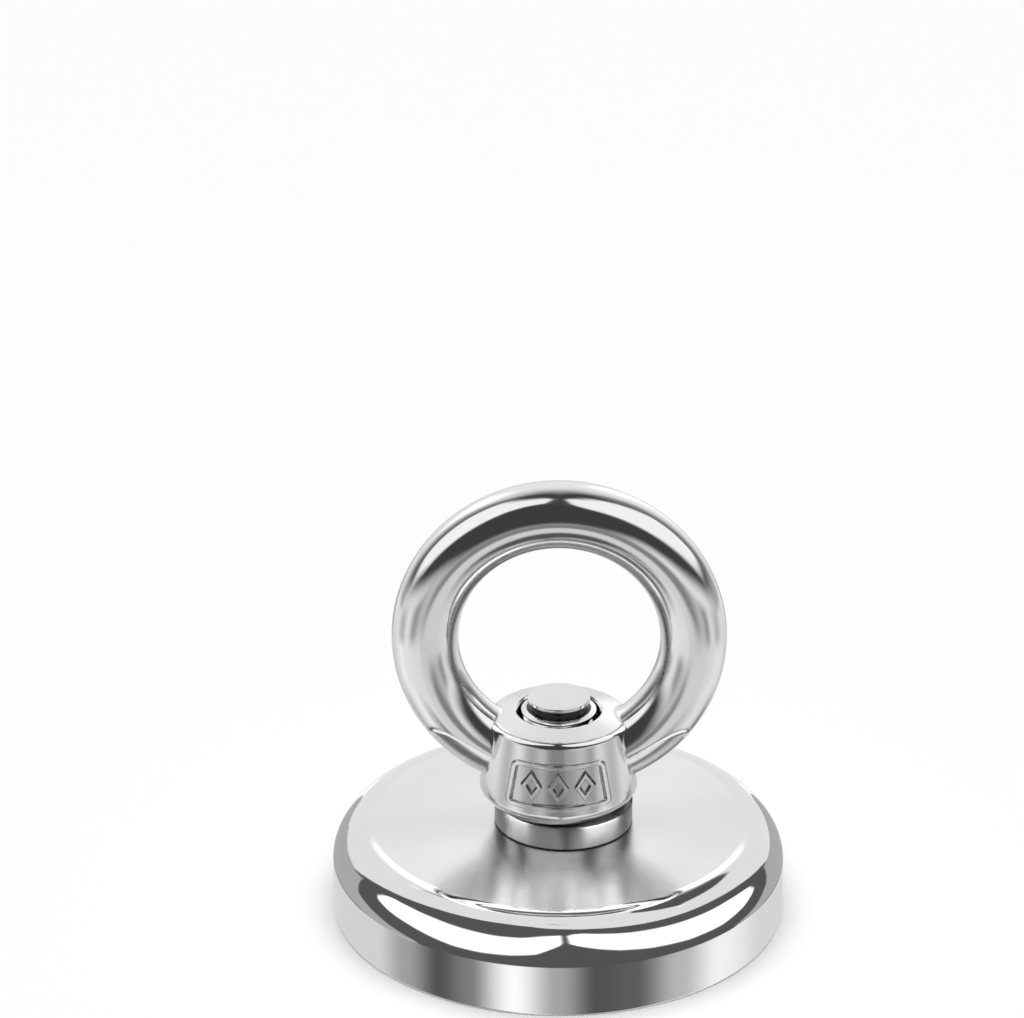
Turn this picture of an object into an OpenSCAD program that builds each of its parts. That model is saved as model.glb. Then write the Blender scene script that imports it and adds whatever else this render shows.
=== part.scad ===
// Magnet fishing magnet, 60 mm, with an eye nut for the rope.
// A turned steel pot holds a ring magnet. A countersunk socket screw comes up through the pot, and an eye nut
// screws down its thread onto a split spring washer. Unscrewing the eye turns it and lifts it by the pitch.
// Origin: centre of the pull face. +Z runs up the screw, and the ring of the eye lies in the XZ plane.

/* [Pot] */
// Outer diameter of the steel pot
pot_d = 60; // [58:1:66]
// Height of the pot, rim to top face
pot_h = 12.4; // [12:0.1:14]
// Thickness of the top plate that the screw clamps
plate_t = 4.4; // [4:0.1:5]
// Thickness of the pot's side wall
wall_t = 4; // [3:0.1:5]
// Radius of the rounded shoulder
shoulder_r = 5.5; // [4:0.1:6]

/* [Magnet] */
// Gap between magnet and pot wall, filled with resin
gap_w = 1.5; // [1:0.1:2.5]
// Diameter of the hole through the ring magnet
magnet_hole_d = 22; // [21.6:0.1:24]
// How far the magnet's face stands back from the pot's rim
magnet_recess = 0.2; // [0.1:0.05:0.5]
// Thickness of the adhesive film over the magnet
film_t = 0.15; // [0.1:0.01:0.3]

/* [Screw] */
// Nominal thread diameter (M10)
thread_d = 10; // [10:0.1:10.2]
// Thread pitch, the eye's lift for one turn
thread_pitch = 1.5; // [1.25:0.25:1.5]
// Diameter of the countersunk head
head_d = 19.8; // [19:0.1:20]
// Height of the head below the plate
head_proud = 1; // [0.5:0.1:1.5]
// Width across the flats of the hex socket
socket_af = 6; // [5:1:6]
// Depth of the hex socket
socket_depth = 3.6; // [3:0.1:4]
// Height of the screw's tip above the pull face
tip_z = 30.4; // [29.6:0.1:31]

/* [Spring washer] */
// Inner diameter of the split washer
washer_id = 11.4; // [10.4:0.1:11.6]
// Outer diameter of the split washer
washer_od = 18.3; // [17.5:0.1:18.6]
// Thickness of the washer at its low end
washer_t = 2.9; // [2:0.05:2.9]
// How far the high end of the split stands above the low one
washer_rise = 0.75; // [0.25:0.05:0.75]
// How far the loose washer sits off the screw's axis, towards +X
washer_shift = 0.7; // [0:0.05:0.7]

/* [Eye nut] */
// Space between the pot and the eye's collar, taken up by the washer
collar_lift = 3.75; // [3.7:0.05:4.5]
// Widest diameter of the collar, near its foot
collar_wide_d = 21; // [20:0.1:22]
// Diameter of the collar's cone where it meets the top edge
collar_top_d = 18.3; // [17.5:0.1:19]
// Height of the collar from its foot to its top face
collar_h = 12.45; // [12:0.05:13]
// Diameter of the flat face under the collar, inside its chamfer
foot_flat_d = 18.2; // [17:0.1:19]
// Height of the collar's widest edge above its foot
foot_rise = 1.65; // [1.2:0.05:2]
// Rounding of the collar's widest edge
foot_r = 0.4; // [0.3:0.05:0.8]
// Radius of the rounded top edge of the collar
brow_r = 0.55; // [0.5:0.05:0.9]
// Fall of the crowned top face from the bore to its edge
crown_fall = 0.75; // [0.3:0.05:0.9]
// Depth of the plain mouth above the thread
mouth_depth = 1.5; // [1:0.1:2]
// Mean radius of the ring
ring_r = 17.47; // [17:0.01:18]
// Diameter of the ring's bar
ring_bar_d = 8.72; // [8:0.01:9]
// Height of the ring's centre above the pull face
ring_z = 38.95; // [38.8:0.05:40]

/* [Raised panel] */
// Half width of the panel at its top
panel_top = 5.9; // [5:0.1:6.2]
// Half width of the panel at its foot
panel_foot = 7; // [6:0.1:7.3]
// Height of the panel's lower edge above the collar's foot
panel_z0 = 2.75; // [2.5:0.05:3]
// Height of the panel's upper edge above the collar's foot
panel_z1 = 8.95; // [8:0.05:9.5]
// Width of the raised line around the panel
panel_line = 0.6; // [0.4:0.1:0.8]
// Height of the raised work above the cone
relief = 0.32; // [0.2:0.01:0.4]

/* [Hidden] */
$fn = 96;
steel = [0.80, 0.80, 0.82];
plating = [0.72, 0.72, 0.75];

pot_r = pot_d / 2;
cavity_r = pot_r - wall_t;
plate_z = pot_h - plate_t;
rim_chamfer = 0.35;

// Running clearance of the thread, and the gap that keeps seated faces from sharing a surface.
thread_clearance = 0.07;
seat_gap = 0.02;
bore_r = thread_d / 2;
shank_r = bore_r - thread_clearance;
hole_r = bore_r + 0.5;
// The countersink runs at 45 degrees from the plate's hole down to the plate's lower face.
hole_land = 0.5;
sink_r = hole_r + plate_t - hole_land;

magnet_r = cavity_r - gap_w;
magnet_top = plate_z - film_t;
resin_recess = 0.35;

head_z = plate_z - head_proud;
head_r = head_d / 2;
// Height at which the head's cone has the radius r, just clear of the countersink.
function head_cone_z(r) = plate_z + sink_r - r - 2 * seat_gap;
tip_chamfer = 0.73;

washer_gap = 0.04;
split_angle = 12;
washer_steps = 72;

foot_z = pot_h + collar_lift;
bore_chamfer = 0.75;

// Angle of the outward normal of the line that touches two circles on their outer side. Each circle is
// [radius, height, corner radius].
function tangent_angle(a, b) =
    let (along = [b[0] - a[0], b[1] - a[1]], span = norm(along))
    atan2(along[1], along[0]) - 90 + asin((a[2] - b[2]) / span);
function on_circle(c, angle) = [c[0] + c[2] * cos(angle), c[1] + c[2] * sin(angle)];

foot_point = [foot_flat_d / 2, foot_z, 0];
foot_circle = [collar_wide_d / 2 - foot_r, foot_z + foot_rise, foot_r];
brow_circle = [collar_top_d / 2 - brow_r, foot_z + collar_h - crown_fall - brow_r, brow_r];
cone_angle = tangent_angle(foot_circle, brow_circle);
collar_top = foot_z + collar_h;
mouth_r = bore_r + bore_chamfer;
mouth_bevel = 0.4;
throat_r = mouth_r - mouth_bevel;

module at_circle(c) {
    translate([c[0], c[1]]) circle(c[2]);
}

// ---- Pot ----

module pot_section() {
    intersection() {
        union() {
            square([pot_r - shoulder_r, pot_h]);
            square([pot_r, pot_h - shoulder_r]);
            translate([pot_r - shoulder_r, pot_h - shoulder_r]) circle(shoulder_r);
        }
        polygon([
            [0, 0],
            [pot_r - rim_chamfer, 0],
            [pot_r + 1, rim_chamfer + 1],
            [pot_r + 1, pot_h + 1],
            [0, pot_h + 1]
        ]);
    }
}

module magnet_pot() {
    color(steel) rotate_extrude() difference() {
        pot_section();
        translate([0, -1]) square([cavity_r, plate_z + 1]);
        polygon([
            [0, plate_z - 1],
            [sink_r, plate_z - 1],
            [sink_r, plate_z],
            [hole_r, pot_h - hole_land],
            [hole_r, pot_h + 1],
            [0, pot_h + 1]
        ]);
    }
}

// ---- Magnet and what holds it ----

module ring_magnet() {
    edge = 0.3;
    inner = magnet_hole_d / 2;
    color(plating) rotate_extrude() polygon([
        [inner + edge, magnet_recess],
        [magnet_r - edge, magnet_recess],
        [magnet_r, magnet_recess + edge],
        [magnet_r, magnet_top],
        [inner, magnet_top],
        [inner, magnet_recess + edge]
    ]);
}

module ring_of(inner, outer, z0, z1) {
    rotate_extrude() translate([inner, z0]) square([outer - inner, z1 - z0]);
}

module gap_resin() {
    color([0.16, 0.16, 0.17]) ring_of(magnet_r, cavity_r, magnet_recess + resin_recess, plate_z);
}

module bond_film() {
    color([0.78, 0.72, 0.52]) ring_of(magnet_hole_d / 2, magnet_r, magnet_top, plate_z);
}

// ---- Screw ----

module countersunk_screw() {
    color(steel) difference() {
        rotate_extrude() polygon([
            [0, head_z],
            [head_r, head_z],
            [head_r, head_cone_z(head_r)],
            [shank_r, head_cone_z(shank_r)],
            [shank_r, tip_z - tip_chamfer],
            [shank_r - tip_chamfer, tip_z],
            [0, tip_z]
        ]);
        translate([0, 0, head_z - 1])
            cylinder(h = socket_depth + 1, d = socket_af / cos(30), $fn = 6);
    }
}

// ---- Spring washer ----

// The four corners of the washer's section at one angle. The split is at the back (+Y). The washer sits flat on
// the pot, and its upper face falls anticlockwise, seen from above, from the high end to the low one.
function washer_corners(i) =
    let (
        part = i / washer_steps,
        angle = 90 + split_angle / 2 + part * (360 - split_angle),
        low = pot_h + washer_gap,
        high = washer_t + washer_rise * (1 - part)
    )
    [for (c = [[washer_id / 2, 0], [washer_od / 2, 0], [washer_od / 2, high], [washer_id / 2, high]])
        [washer_shift + c[0] * cos(angle), c[0] * sin(angle), low + c[1]]];

module spring_washer() {
    points = [for (i = [0:washer_steps]) each washer_corners(i)];
    last = 4 * washer_steps;
    sides = [for (i = [0:washer_steps - 1], k = [0:3])
        let (a = 4 * i + k, b = 4 * i + (k + 1) % 4)
        each [[a, a + 4, b], [b, a + 4, b + 4]]];
    ends = [[0, 1, 2, 3], [last + 3, last + 2, last + 1, last]];
    color(steel) polyhedron(points, concat(sides, ends));
}

// ---- Eye nut ----

module collar_section() {
    at_circle(foot_circle);
    at_circle(brow_circle);
    polygon([
        [0, foot_z],
        [foot_point[0], foot_z],
        on_circle(foot_circle, tangent_angle(foot_point, foot_circle)),
        on_circle(foot_circle, cone_angle),
        on_circle(brow_circle, cone_angle),
        [brow_circle[0], brow_circle[1] + brow_r],
        [mouth_r, collar_top],
        [0, collar_top]
    ]);
}

module bore_section() {
    polygon([
        [0, foot_z - 1],
        [mouth_r + 1, foot_z - 1],
        [bore_r, foot_z + bore_chamfer],
        [bore_r, collar_top - mouth_depth - (throat_r - bore_r)],
        [throat_r, collar_top - mouth_depth],
        [throat_r, collar_top - mouth_bevel],
        [mouth_r + 1, collar_top + 1],
        [0, collar_top + 1]
    ]);
}

// The collar's cone, made larger all round, so that raised work cut from it stands proud of the collar.
module raised_cone() {
    rotate_extrude() polygon([
        [mouth_r, foot_circle[1]],
        on_circle([foot_circle[0], foot_circle[1], foot_r + relief], cone_angle),
        on_circle([brow_circle[0], brow_circle[1], brow_r + relief], cone_angle),
        [mouth_r, brow_circle[1]]
    ]);
}

module trapezium(inset) {
    polygon([
        [-panel_foot + inset, panel_z0 + inset],
        [panel_foot - inset, panel_z0 + inset],
        [panel_top - inset, panel_z1 - inset],
        [-panel_top + inset, panel_z1 - inset]
    ]);
}

module lozenge(x, size) {
    half_w = 1.45 * size;
    half_h = 2.15 * size;
    mid = (panel_z0 + panel_z1) / 2;
    polygon([[x - half_w, mid], [x, mid - half_h], [x + half_w, mid], [x, mid + half_h]]);
}

module panel_pattern() {
    difference() {
        trapezium(0);
        trapezium(panel_line);
    }
    for (x = [-3.5, 0, 3.5]) difference() {
        lozenge(x, 1);
        lozenge(x, 0.4);
    }
}

module raised_panel() {
    intersection() {
        raised_cone();
        translate([0, 0, foot_z]) rotate([90, 0, 0]) linear_extrude(collar_wide_d) panel_pattern();
    }
}

module ring_bar() {
    translate([0, 0, ring_z]) rotate([90, 0, 0]) rotate_extrude()
        translate([ring_r, 0]) circle(d = ring_bar_d);
}

module eye_nut() {
    color(steel) difference() {
        union() {
            rotate_extrude() collar_section();
            ring_bar();
            raised_panel();
        }
        rotate_extrude() bore_section();
    }
}

magnet_pot();
ring_magnet();
gap_resin();
bond_film();
countersunk_screw();
spring_washer();
eye_nut();
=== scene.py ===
"""Looks of the magnet fishing magnet: a nickel-plated pot magnet with a polished stainless eye nut."""
import math

import bmesh
import bpy
import numpy as np
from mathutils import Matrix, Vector


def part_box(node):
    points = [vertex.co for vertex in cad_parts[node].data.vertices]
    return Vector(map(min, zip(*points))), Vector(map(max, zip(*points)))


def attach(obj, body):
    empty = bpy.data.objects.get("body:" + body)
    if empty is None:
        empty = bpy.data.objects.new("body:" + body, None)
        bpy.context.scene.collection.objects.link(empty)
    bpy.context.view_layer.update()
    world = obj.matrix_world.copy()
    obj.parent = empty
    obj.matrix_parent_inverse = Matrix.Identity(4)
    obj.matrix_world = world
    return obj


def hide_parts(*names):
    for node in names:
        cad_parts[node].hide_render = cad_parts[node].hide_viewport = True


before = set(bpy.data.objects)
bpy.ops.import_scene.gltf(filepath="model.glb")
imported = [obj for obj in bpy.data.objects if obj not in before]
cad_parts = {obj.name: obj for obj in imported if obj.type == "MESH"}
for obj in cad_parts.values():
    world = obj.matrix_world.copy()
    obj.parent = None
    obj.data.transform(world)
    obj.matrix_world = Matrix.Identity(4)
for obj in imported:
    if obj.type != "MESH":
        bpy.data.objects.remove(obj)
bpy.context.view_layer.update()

MM = 0.001                      # the shapes below are worked out in millimetres
DIM = 0.055                     # brightness of the unlit parts of the room
CARD_R = 1500                   # distance of the first light card
CARD_STEP = 10                  # each further card stands this much behind, so no two coincide
TAU = 2 * math.pi


# ---- Sizes, from the CAD frame ----

def span(node):
    """Lowest and highest corner of a CAD node in millimetres."""
    low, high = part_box(node)
    return np.array(low) / MM, np.array(high) / MM


_, pot_hi = span("magnet_pot")
magnet_lo, magnet_hi = span("ring_magnet")
resin_lo, resin_hi = span("gap_resin")
film_lo, film_hi = span("bond_film")
screw_lo, screw_hi = span("countersunk_screw")
washer_lo, washer_hi = span("spring_washer")
eye_lo, eye_hi = span("eye_nut")

POT_R = pot_hi[0]
POT_H = pot_hi[2]
CAVITY_R = resin_hi[0]
PLATE_Z = resin_hi[2]
MAGNET_R = magnet_hi[0]
MAGNET_HOLE_R = 11.0
SHOULDER_R = 5.5

THREAD_R = 5.0                  # M10
PITCH = 1.5
THREAD_CLEARANCE = 0.07
SHANK_R = THREAD_R - THREAD_CLEARANCE
ROOT_R = 4.08
TIP_R = 4.1
HOLE_R = THREAD_R + 0.5
HOLE_LAND = 0.5
SINK_R = HOLE_R + (POT_H - PLATE_Z) - HOLE_LAND
HEAD_R = screw_hi[0]
HEAD_Z = screw_lo[2]
TIP_Z = screw_hi[2]
SOCKET_APOTHEM = 3.0
SOCKET_DEPTH = 3.6
TIP_ROUND = 0.16
DISC_T = 0.42                   # the screw's tip is a plain disc over a groove
GROOVE_R = ROOT_R - 0.1
THREAD_START = 1.5              # depth below the tip at which the thread begins
PLAIN_END = 2.3                 # depth at which the thread has its full form
WASHER_INNER_R = 5.7
WASHER_OUTER_R = 9.15
WASHER_T = 2.9
WASHER_GAP = math.radians(12)

RING_BAR_R = 4.36
RING_R = eye_hi[0] - RING_BAR_R
RING_Z = eye_hi[2] - RING_R - RING_BAR_R
FOOT_Z = eye_lo[2]
COLLAR_WIDE_R = 10.5
COLLAR_BROW_R = 9.15
COLLAR_TOP_Z = FOOT_Z + 12.45
FOOT_ROUND = 0.4
FOOT_RISE = 1.65
FOOT_FLAT_R = 9.1
BROW_ROUND = 0.55
CROWN_FALL = 0.75
MOUTH_R = THREAD_R + 0.75
MOUTH_BEVEL = 0.4
MOUTH_DEPTH = 1.5


# ---- Mesh helpers ----

def mesh_object(name, points, faces, normals=None):
    """A smooth-shaded object from points in millimetres, with the given vertex normals if any."""
    mesh = bpy.data.meshes.new(name)
    mesh.from_pydata([tuple(p) for p in np.asarray(points) * MM], [], [tuple(map(int, f)) for f in faces])
    mesh.validate()
    mesh.update()
    mesh.shade_smooth()
    if normals is not None:
        mesh.normals_split_custom_set_from_vertices([tuple(n) for n in normals])
    obj = bpy.data.objects.new(name, mesh)
    bpy.context.scene.collection.objects.link(obj)
    return obj


def place(obj, body, node, material):
    """Gives a piece its body and its material, and hides the CAD node it stands for."""
    obj.data.materials.append(material)
    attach(obj, body)
    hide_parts(node)
    return obj


def rounded_outline(corners, steps=6):
    """Points and outward normals of a closed outline of (r, z, corner radius), anticlockwise in r and z."""
    points, normals = [], []
    count = len(corners)
    for i in range(count):
        before, here, after = (np.array(corners[(i + k) % count][:2], float) for k in (-1, 0, 1))
        radius = corners[i][2]
        into = (here - before) / np.linalg.norm(here - before)
        out = (after - here) / np.linalg.norm(after - here)
        n_in = np.array([into[1], -into[0]])
        turn = math.atan2(into[0] * out[1] - into[1] * out[0], into @ out)
        side = 1.0 if turn > 0 else -1.0
        set_back = radius * math.tan(abs(turn) / 2)
        centre = here - into * set_back - side * n_in * radius
        start = math.atan2(n_in[1], n_in[0])
        for k in range(steps + 1):
            angle = start + turn * k / steps
            normal = np.array([math.cos(angle), math.sin(angle)])
            points.append(centre + side * radius * normal)
            normals.append(normal)
    return np.array(points), np.array(normals)


def ring_faces(rows, columns, closed_rows=True):
    """Quads between the rings of a grid. Each ring closes on itself, and so does the stack if asked."""
    r = np.arange(rows if closed_rows else rows - 1)
    c = np.arange(columns)
    r, c = np.meshgrid(r, c, indexing="ij")
    r2, c2 = (r + 1) % rows, (c + 1) % columns
    corners = (r * columns + c, r2 * columns + c, r2 * columns + c2, r * columns + c2)
    return np.stack(corners, -1).reshape(-1, 4)


def lathe(name, outline, segments):
    """A closed body of revolution round Z from a rounded outline."""
    points, normals = outline
    angle = np.arange(segments) * TAU / segments
    cos, sin = np.cos(angle), np.sin(angle)
    grid = np.stack([np.outer(points[:, 0], cos), np.outer(points[:, 0], sin),
                     np.outer(points[:, 1], np.ones(segments))], -1)
    dirs = np.stack([np.outer(normals[:, 0], cos), np.outer(normals[:, 0], sin),
                     np.outer(normals[:, 1], np.ones(segments))], -1)
    faces = ring_faces(len(points), segments)[:, ::-1]
    return mesh_object(name, grid.reshape(-1, 3), faces, dirs.reshape(-1, 3))


# ---- Pot, magnet and bonding ----

def pot_outline():
    """Outline of the pot: rim, side, rounded shoulder, turned top, countersunk hole and cavity."""
    centre = (POT_R - SHOULDER_R, POT_H - SHOULDER_R)
    below, below_n = rounded_outline([
        (CAVITY_R, PLATE_Z, 0.05), (CAVITY_R, 0, 0.25), (POT_R, 0, 0.35), (POT_R, PLATE_Z, 0)], 5)
    keep = slice(0, len(below) - 6)
    angles = np.linspace(0, math.pi / 2, 48)
    arc_n = np.stack([np.cos(angles), np.sin(angles)], 1)
    arc = np.array(centre) + SHOULDER_R * arc_n
    top, top_n = rounded_outline([
        (HOLE_R, POT_H, 0.12), (HOLE_R, POT_H - HOLE_LAND, 0.05), (SINK_R, PLATE_Z, 0.12),
        (CAVITY_R - 1, PLATE_Z, 0), (CAVITY_R - 1, POT_H, 0)], 4)
    keep_top = slice(0, 15)
    points = np.concatenate([below[keep], arc, top[keep_top]])
    normals = np.concatenate([below_n[keep], arc_n, top_n[keep_top]])
    return points, normals


def second_material(obj, material, inside):
    """Gives the faces whose centres (mm) the function inside picks out another material."""
    obj.data.materials.append(material)
    centres = np.empty(3 * len(obj.data.polygons))
    obj.data.polygons.foreach_get("center", centres)
    chosen = inside(centres.reshape(-1, 3) / MM)
    index = np.empty(len(chosen), int)
    obj.data.polygons.foreach_get("material_index", index)
    index[chosen] = len(obj.data.materials) - 1
    obj.data.polygons.foreach_set("material_index", index)


def make_pot(material, turned_material):
    """The pot: polished outside, its flat top and clamping seat left as turned."""
    pot = place(lathe("pot", pot_outline(), 288), "magnet_base", "magnet_pot", material)
    second_material(pot, turned_material, lambda p: (p[:, 2] > POT_H - 0.03) & (
        np.hypot(p[:, 0], p[:, 1]) < POT_R - SHOULDER_R))
    return pot


def make_magnet(material):
    """Ring magnet with rounded edges, most of all round its hole."""
    outline = rounded_outline([
        (MAGNET_HOLE_R, magnet_hi[2], 0.1), (MAGNET_HOLE_R, magnet_lo[2], 0.45),
        (MAGNET_R, magnet_lo[2], 0.35), (MAGNET_R, magnet_hi[2], 0.1)], 6)
    return place(lathe("magnet", outline, 192), "magnet_base", "ring_magnet", material)


def make_resin(material):
    """Resin in the gap, its face drawn up the walls in a shallow hollow."""
    climb = 0.22
    face = np.linspace(0, 1, 13)
    hollow = resin_lo[2] + climb * (1 - (2 * face - 1) ** 2) - climb * 0.4
    width = CAVITY_R - MAGNET_R
    slope = -climb * 4 * (1 - 2 * face) / width
    rim = np.stack([MAGNET_R + 0.005 + (width - 0.01) * face, hollow], 1)
    rim_n = np.stack([slope, -np.ones_like(slope)], 1)
    rim_n /= np.linalg.norm(rim_n, axis=1, keepdims=True)
    back = np.array([[CAVITY_R - 0.005, PLATE_Z - 0.01], [MAGNET_R + 0.005, PLATE_Z - 0.01]])
    back_n = np.array([[0.7071, 0.7071], [-0.7071, 0.7071]])
    outline = np.concatenate([rim, back]), np.concatenate([rim_n, back_n])
    return place(lathe("resin", outline, 192), "magnet_base", "gap_resin", material)


def make_film(material):
    """Thin film of adhesive between the magnet and the pot's plate."""
    outline = rounded_outline([
        (MAGNET_HOLE_R, film_hi[2], 0.03), (MAGNET_HOLE_R, film_lo[2], 0.05),
        (MAGNET_R, film_lo[2], 0.03), (MAGNET_R, film_hi[2], 0.03)], 3)
    return place(lathe("adhesive", outline, 128), "magnet_base", "bond_film", material)


# ---- Screw ----

def thread_radius(phase, outer, depth, crest, root):
    """Radius of a thread at a phase of 0 (crest) to 1: flat crest, straight flanks and flat root."""
    w = np.abs((phase + 0.5) % 1 - 0.5)
    fall = np.clip((w - crest) / (root - crest), 0, 1)
    fall = fall * fall * (3 - 2 * fall) * 0.35 + fall * 0.65
    return outer - depth * fall


def tip_radius(below):
    """Radius of the screw's end at a depth below its tip: a disc, a groove and the start of the thread."""
    short = np.clip(TIP_ROUND - below, 0, TIP_ROUND)
    disc = TIP_R - TIP_ROUND + np.sqrt(np.clip(TIP_ROUND ** 2 - short ** 2, 0, None))
    groove = np.clip((below - DISC_T) / 0.15, 0, 1)
    land = np.clip((below - THREAD_START) / 0.3, 0, 1)
    return disc + (GROOVE_R - TIP_R) * groove * (1 - land) + (SHANK_R - TIP_R) * land


def hexagon_radius(angle):
    """Distance from the axis to the wall of the socket."""
    return SOCKET_APOTHEM / np.cos((angle + math.pi / 6) % (math.pi / 3) - math.pi / 6)


def make_screw(material):
    """Countersunk screw: socket, head, cone, right-handed thread and tip, as one stack of rings."""
    segments = 120
    angle = np.arange(segments) * TAU / segments
    cos, sin = np.cos(angle), np.sin(angle)
    rows = []

    def ring(radius, z):
        """Adds one ring of points; radius and height may change round it."""
        radius = np.broadcast_to(radius, angle.shape)
        z = np.broadcast_to(z, angle.shape)
        rows.append(np.stack([radius * cos, radius * sin, z], 1))

    socket = hexagon_radius(angle)
    floor = HEAD_Z + SOCKET_DEPTH
    for share in (0.0, 0.3, 0.6, 0.9):
        ring(socket * 0.97 * share, floor + 0.55 * (1 - share))
    for depth in (0.0, 0.08, 0.2, 1.2, 2.4, SOCKET_DEPTH - 0.5):
        ring(socket * (1 if depth else 0.985), floor - depth)
    ring(socket + 0.02, HEAD_Z + 0.4)
    ring(socket + 0.12, HEAD_Z + 0.22)
    ring(socket + 0.38, HEAD_Z + 0.04)
    ring(socket + 0.55, HEAD_Z)
    for radius in (socket + 0.9, 5.0, 6.5, 8.0, 9.0):
        ring(radius, HEAD_Z)
    for k in range(7):
        turn = k / 6 * math.pi / 2
        ring(HEAD_R - 0.3 + 0.3 * math.sin(turn), HEAD_Z + 0.3 - 0.3 * math.cos(turn))
    cone_foot = PLATE_Z + SINK_R - HEAD_R - 0.04
    for k in range(12):
        ring(HEAD_R + (SHANK_R - HEAD_R) * k / 11, cone_foot + (HEAD_R - SHANK_R) * k / 11)
    start = cone_foot + HEAD_R - SHANK_R + 0.1
    for z in np.arange(start, TIP_Z - PLAIN_END - 0.05, PITCH / 14):
        phase = z / PITCH - angle / TAU
        fade = np.clip((z - start) / 1.2, 0, 1)
        ring(thread_radius(phase, SHANK_R, (SHANK_R - ROOT_R) * fade, 0.07, 0.38), z)
    edge = TIP_ROUND * np.array([1, 0.7, 0.45, 0.25, 0.1, 0.02])
    for below in np.concatenate([np.arange(PLAIN_END, 0.2, -0.05), edge]):
        z = TIP_Z - below
        phase = z / PITCH - angle / TAU
        threaded = thread_radius(phase, SHANK_R, SHANK_R - ROOT_R, 0.07, 0.38)
        share = np.clip((below - PLAIN_END + 0.4) / 0.4, 0, 1)
        ring(threaded * share + tip_radius(below) * (1 - share), z)
    for radius in (4.0, 3.6, 2.4, 1.2, 0.0):
        ring(radius, TIP_Z)
    grid = np.array(rows)
    faces = ring_faces(len(rows), segments, closed_rows=False)[:, ::-1]
    obj = mesh_object("screw", grid.reshape(-1, 3), faces)
    tidy_mesh(obj, sharp=38)
    return place(obj, "magnet_base", "countersunk_screw", material)


def tidy_mesh(obj, sharp=None):
    """Joins doubled points, drops empty faces, turns normals outward, and sharpens edges above an angle."""
    bm = bmesh.new()
    bm.from_mesh(obj.data)
    bmesh.ops.remove_doubles(bm, verts=bm.verts, dist=1e-7)
    bmesh.ops.dissolve_degenerate(bm, edges=bm.edges, dist=1e-8)
    bmesh.ops.recalc_face_normals(bm, faces=bm.faces)
    if sharp is not None:
        for edge in bm.edges:
            if len(edge.link_faces) == 2 and edge.calc_face_angle(0) > math.radians(sharp):
                edge.smooth = False
    bm.to_mesh(obj.data)
    bm.free()


# ---- Spring washer ----

def make_washer(material):
    """Split washer seated flat on the pot, split at the back, its high end up against the eye."""
    inner, outer, gap = WASHER_INNER_R, WASHER_OUTER_R, WASHER_GAP
    shift = washer_hi[0] - outer
    low = washer_lo[2]
    rise = washer_hi[2] - low - WASHER_T
    turns = np.linspace(0, 1, 181)
    points = []
    for part in turns:
        height = WASHER_T + rise * (1 - part)
        outline, _ = rounded_outline([
            (inner, 0, 0.2), (outer, 0, 0.12), (outer, height, 0.12), (inner, height, 0.25)], 4)
        angle = math.pi / 2 + gap / 2 + part * (TAU - gap)
        cos, sin = math.cos(angle), math.sin(angle)
        points.append(np.stack([shift + outline[:, 0] * cos, outline[:, 0] * sin, low + outline[:, 1]], 1))
    count = len(points[0])
    points = np.concatenate(points)
    faces = list(ring_faces(len(turns), count, closed_rows=False))
    faces += [tuple(range(count))[::-1], tuple(range(len(points) - count, len(points)))]
    obj = mesh_object("washer", points, faces)
    tidy_mesh(obj, sharp=50)
    bevel = obj.modifiers.new("end_round", "BEVEL")
    bevel.width = 0.1 * MM
    bevel.segments = 3
    bevel.limit_method = "ANGLE"
    bevel.angle_limit = math.radians(60)
    return place(obj, "washer", "spring_washer", material)


# ---- Eye nut ----

def tangent_angle(a, b):
    """Angle of the outward normal of the line that touches circles a and b, each (r, z, radius)."""
    d = np.array(b[:2]) - np.array(a[:2])
    return math.atan2(d[1], d[0]) - math.pi / 2 + math.asin((a[2] - b[2]) / np.hypot(*d))


FOOT = (COLLAR_WIDE_R - FOOT_ROUND, FOOT_Z + FOOT_RISE, FOOT_ROUND)
BROW = (COLLAR_BROW_R - BROW_ROUND, COLLAR_TOP_Z - CROWN_FALL - BROW_ROUND, BROW_ROUND)
CONE_ANGLE = tangent_angle(FOOT, BROW)
CHAMFER_ANGLE = tangent_angle((FOOT_FLAT_R, FOOT_Z, 0), FOOT)
CROWN_ANGLE = math.atan2(BROW[0] - MOUTH_R, CROWN_FALL)
PANEL_TOP = 5.9
PANEL_FOOT = 7.0
PANEL_Z0 = FOOT_Z + 2.75
PANEL_Z1 = FOOT_Z + 8.95
PANEL_ROUND = 0.9
PANEL_LINE = 0.55
PANEL_SINK = 0.12
RELIEF = 0.3
LOZENGE_X = (-3.5, 0.0, 3.5)
LOZENGE_HALF = (1.45, 2.15)


def smooth_union(a, b, radius):
    """Union of two distances with a round fillet."""
    reach = np.hypot(np.maximum(radius - a, 0), np.maximum(radius - b, 0))
    return np.maximum(radius, np.minimum(a, b)) - reach


def smooth_both(a, b, radius):
    """What two solids share, with a rounded edge."""
    reach = np.hypot(np.maximum(radius + a, 0), np.maximum(radius + b, 0))
    return np.minimum(-radius, np.maximum(a, b)) + reach


def half_plane(r, z, circle, angle):
    """Distance to the line that touches a circle (r, z, radius) where its normal has this angle."""
    return (r - circle[0]) * math.cos(angle) + (z - circle[1]) * math.sin(angle) - circle[2]


def collar_distance(r, z):
    """Distance to the collar: cone, crowned top with a rounded brow, chamfered foot."""
    upper = smooth_both(half_plane(r, z, FOOT, CONE_ANGLE), half_plane(r, z, BROW, CROWN_ANGLE), BROW_ROUND)
    lower = smooth_both(half_plane(r, z, FOOT, CHAMFER_ANGLE), FOOT_Z - z, 0.25)
    return smooth_both(upper, lower, FOOT_ROUND)


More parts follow.
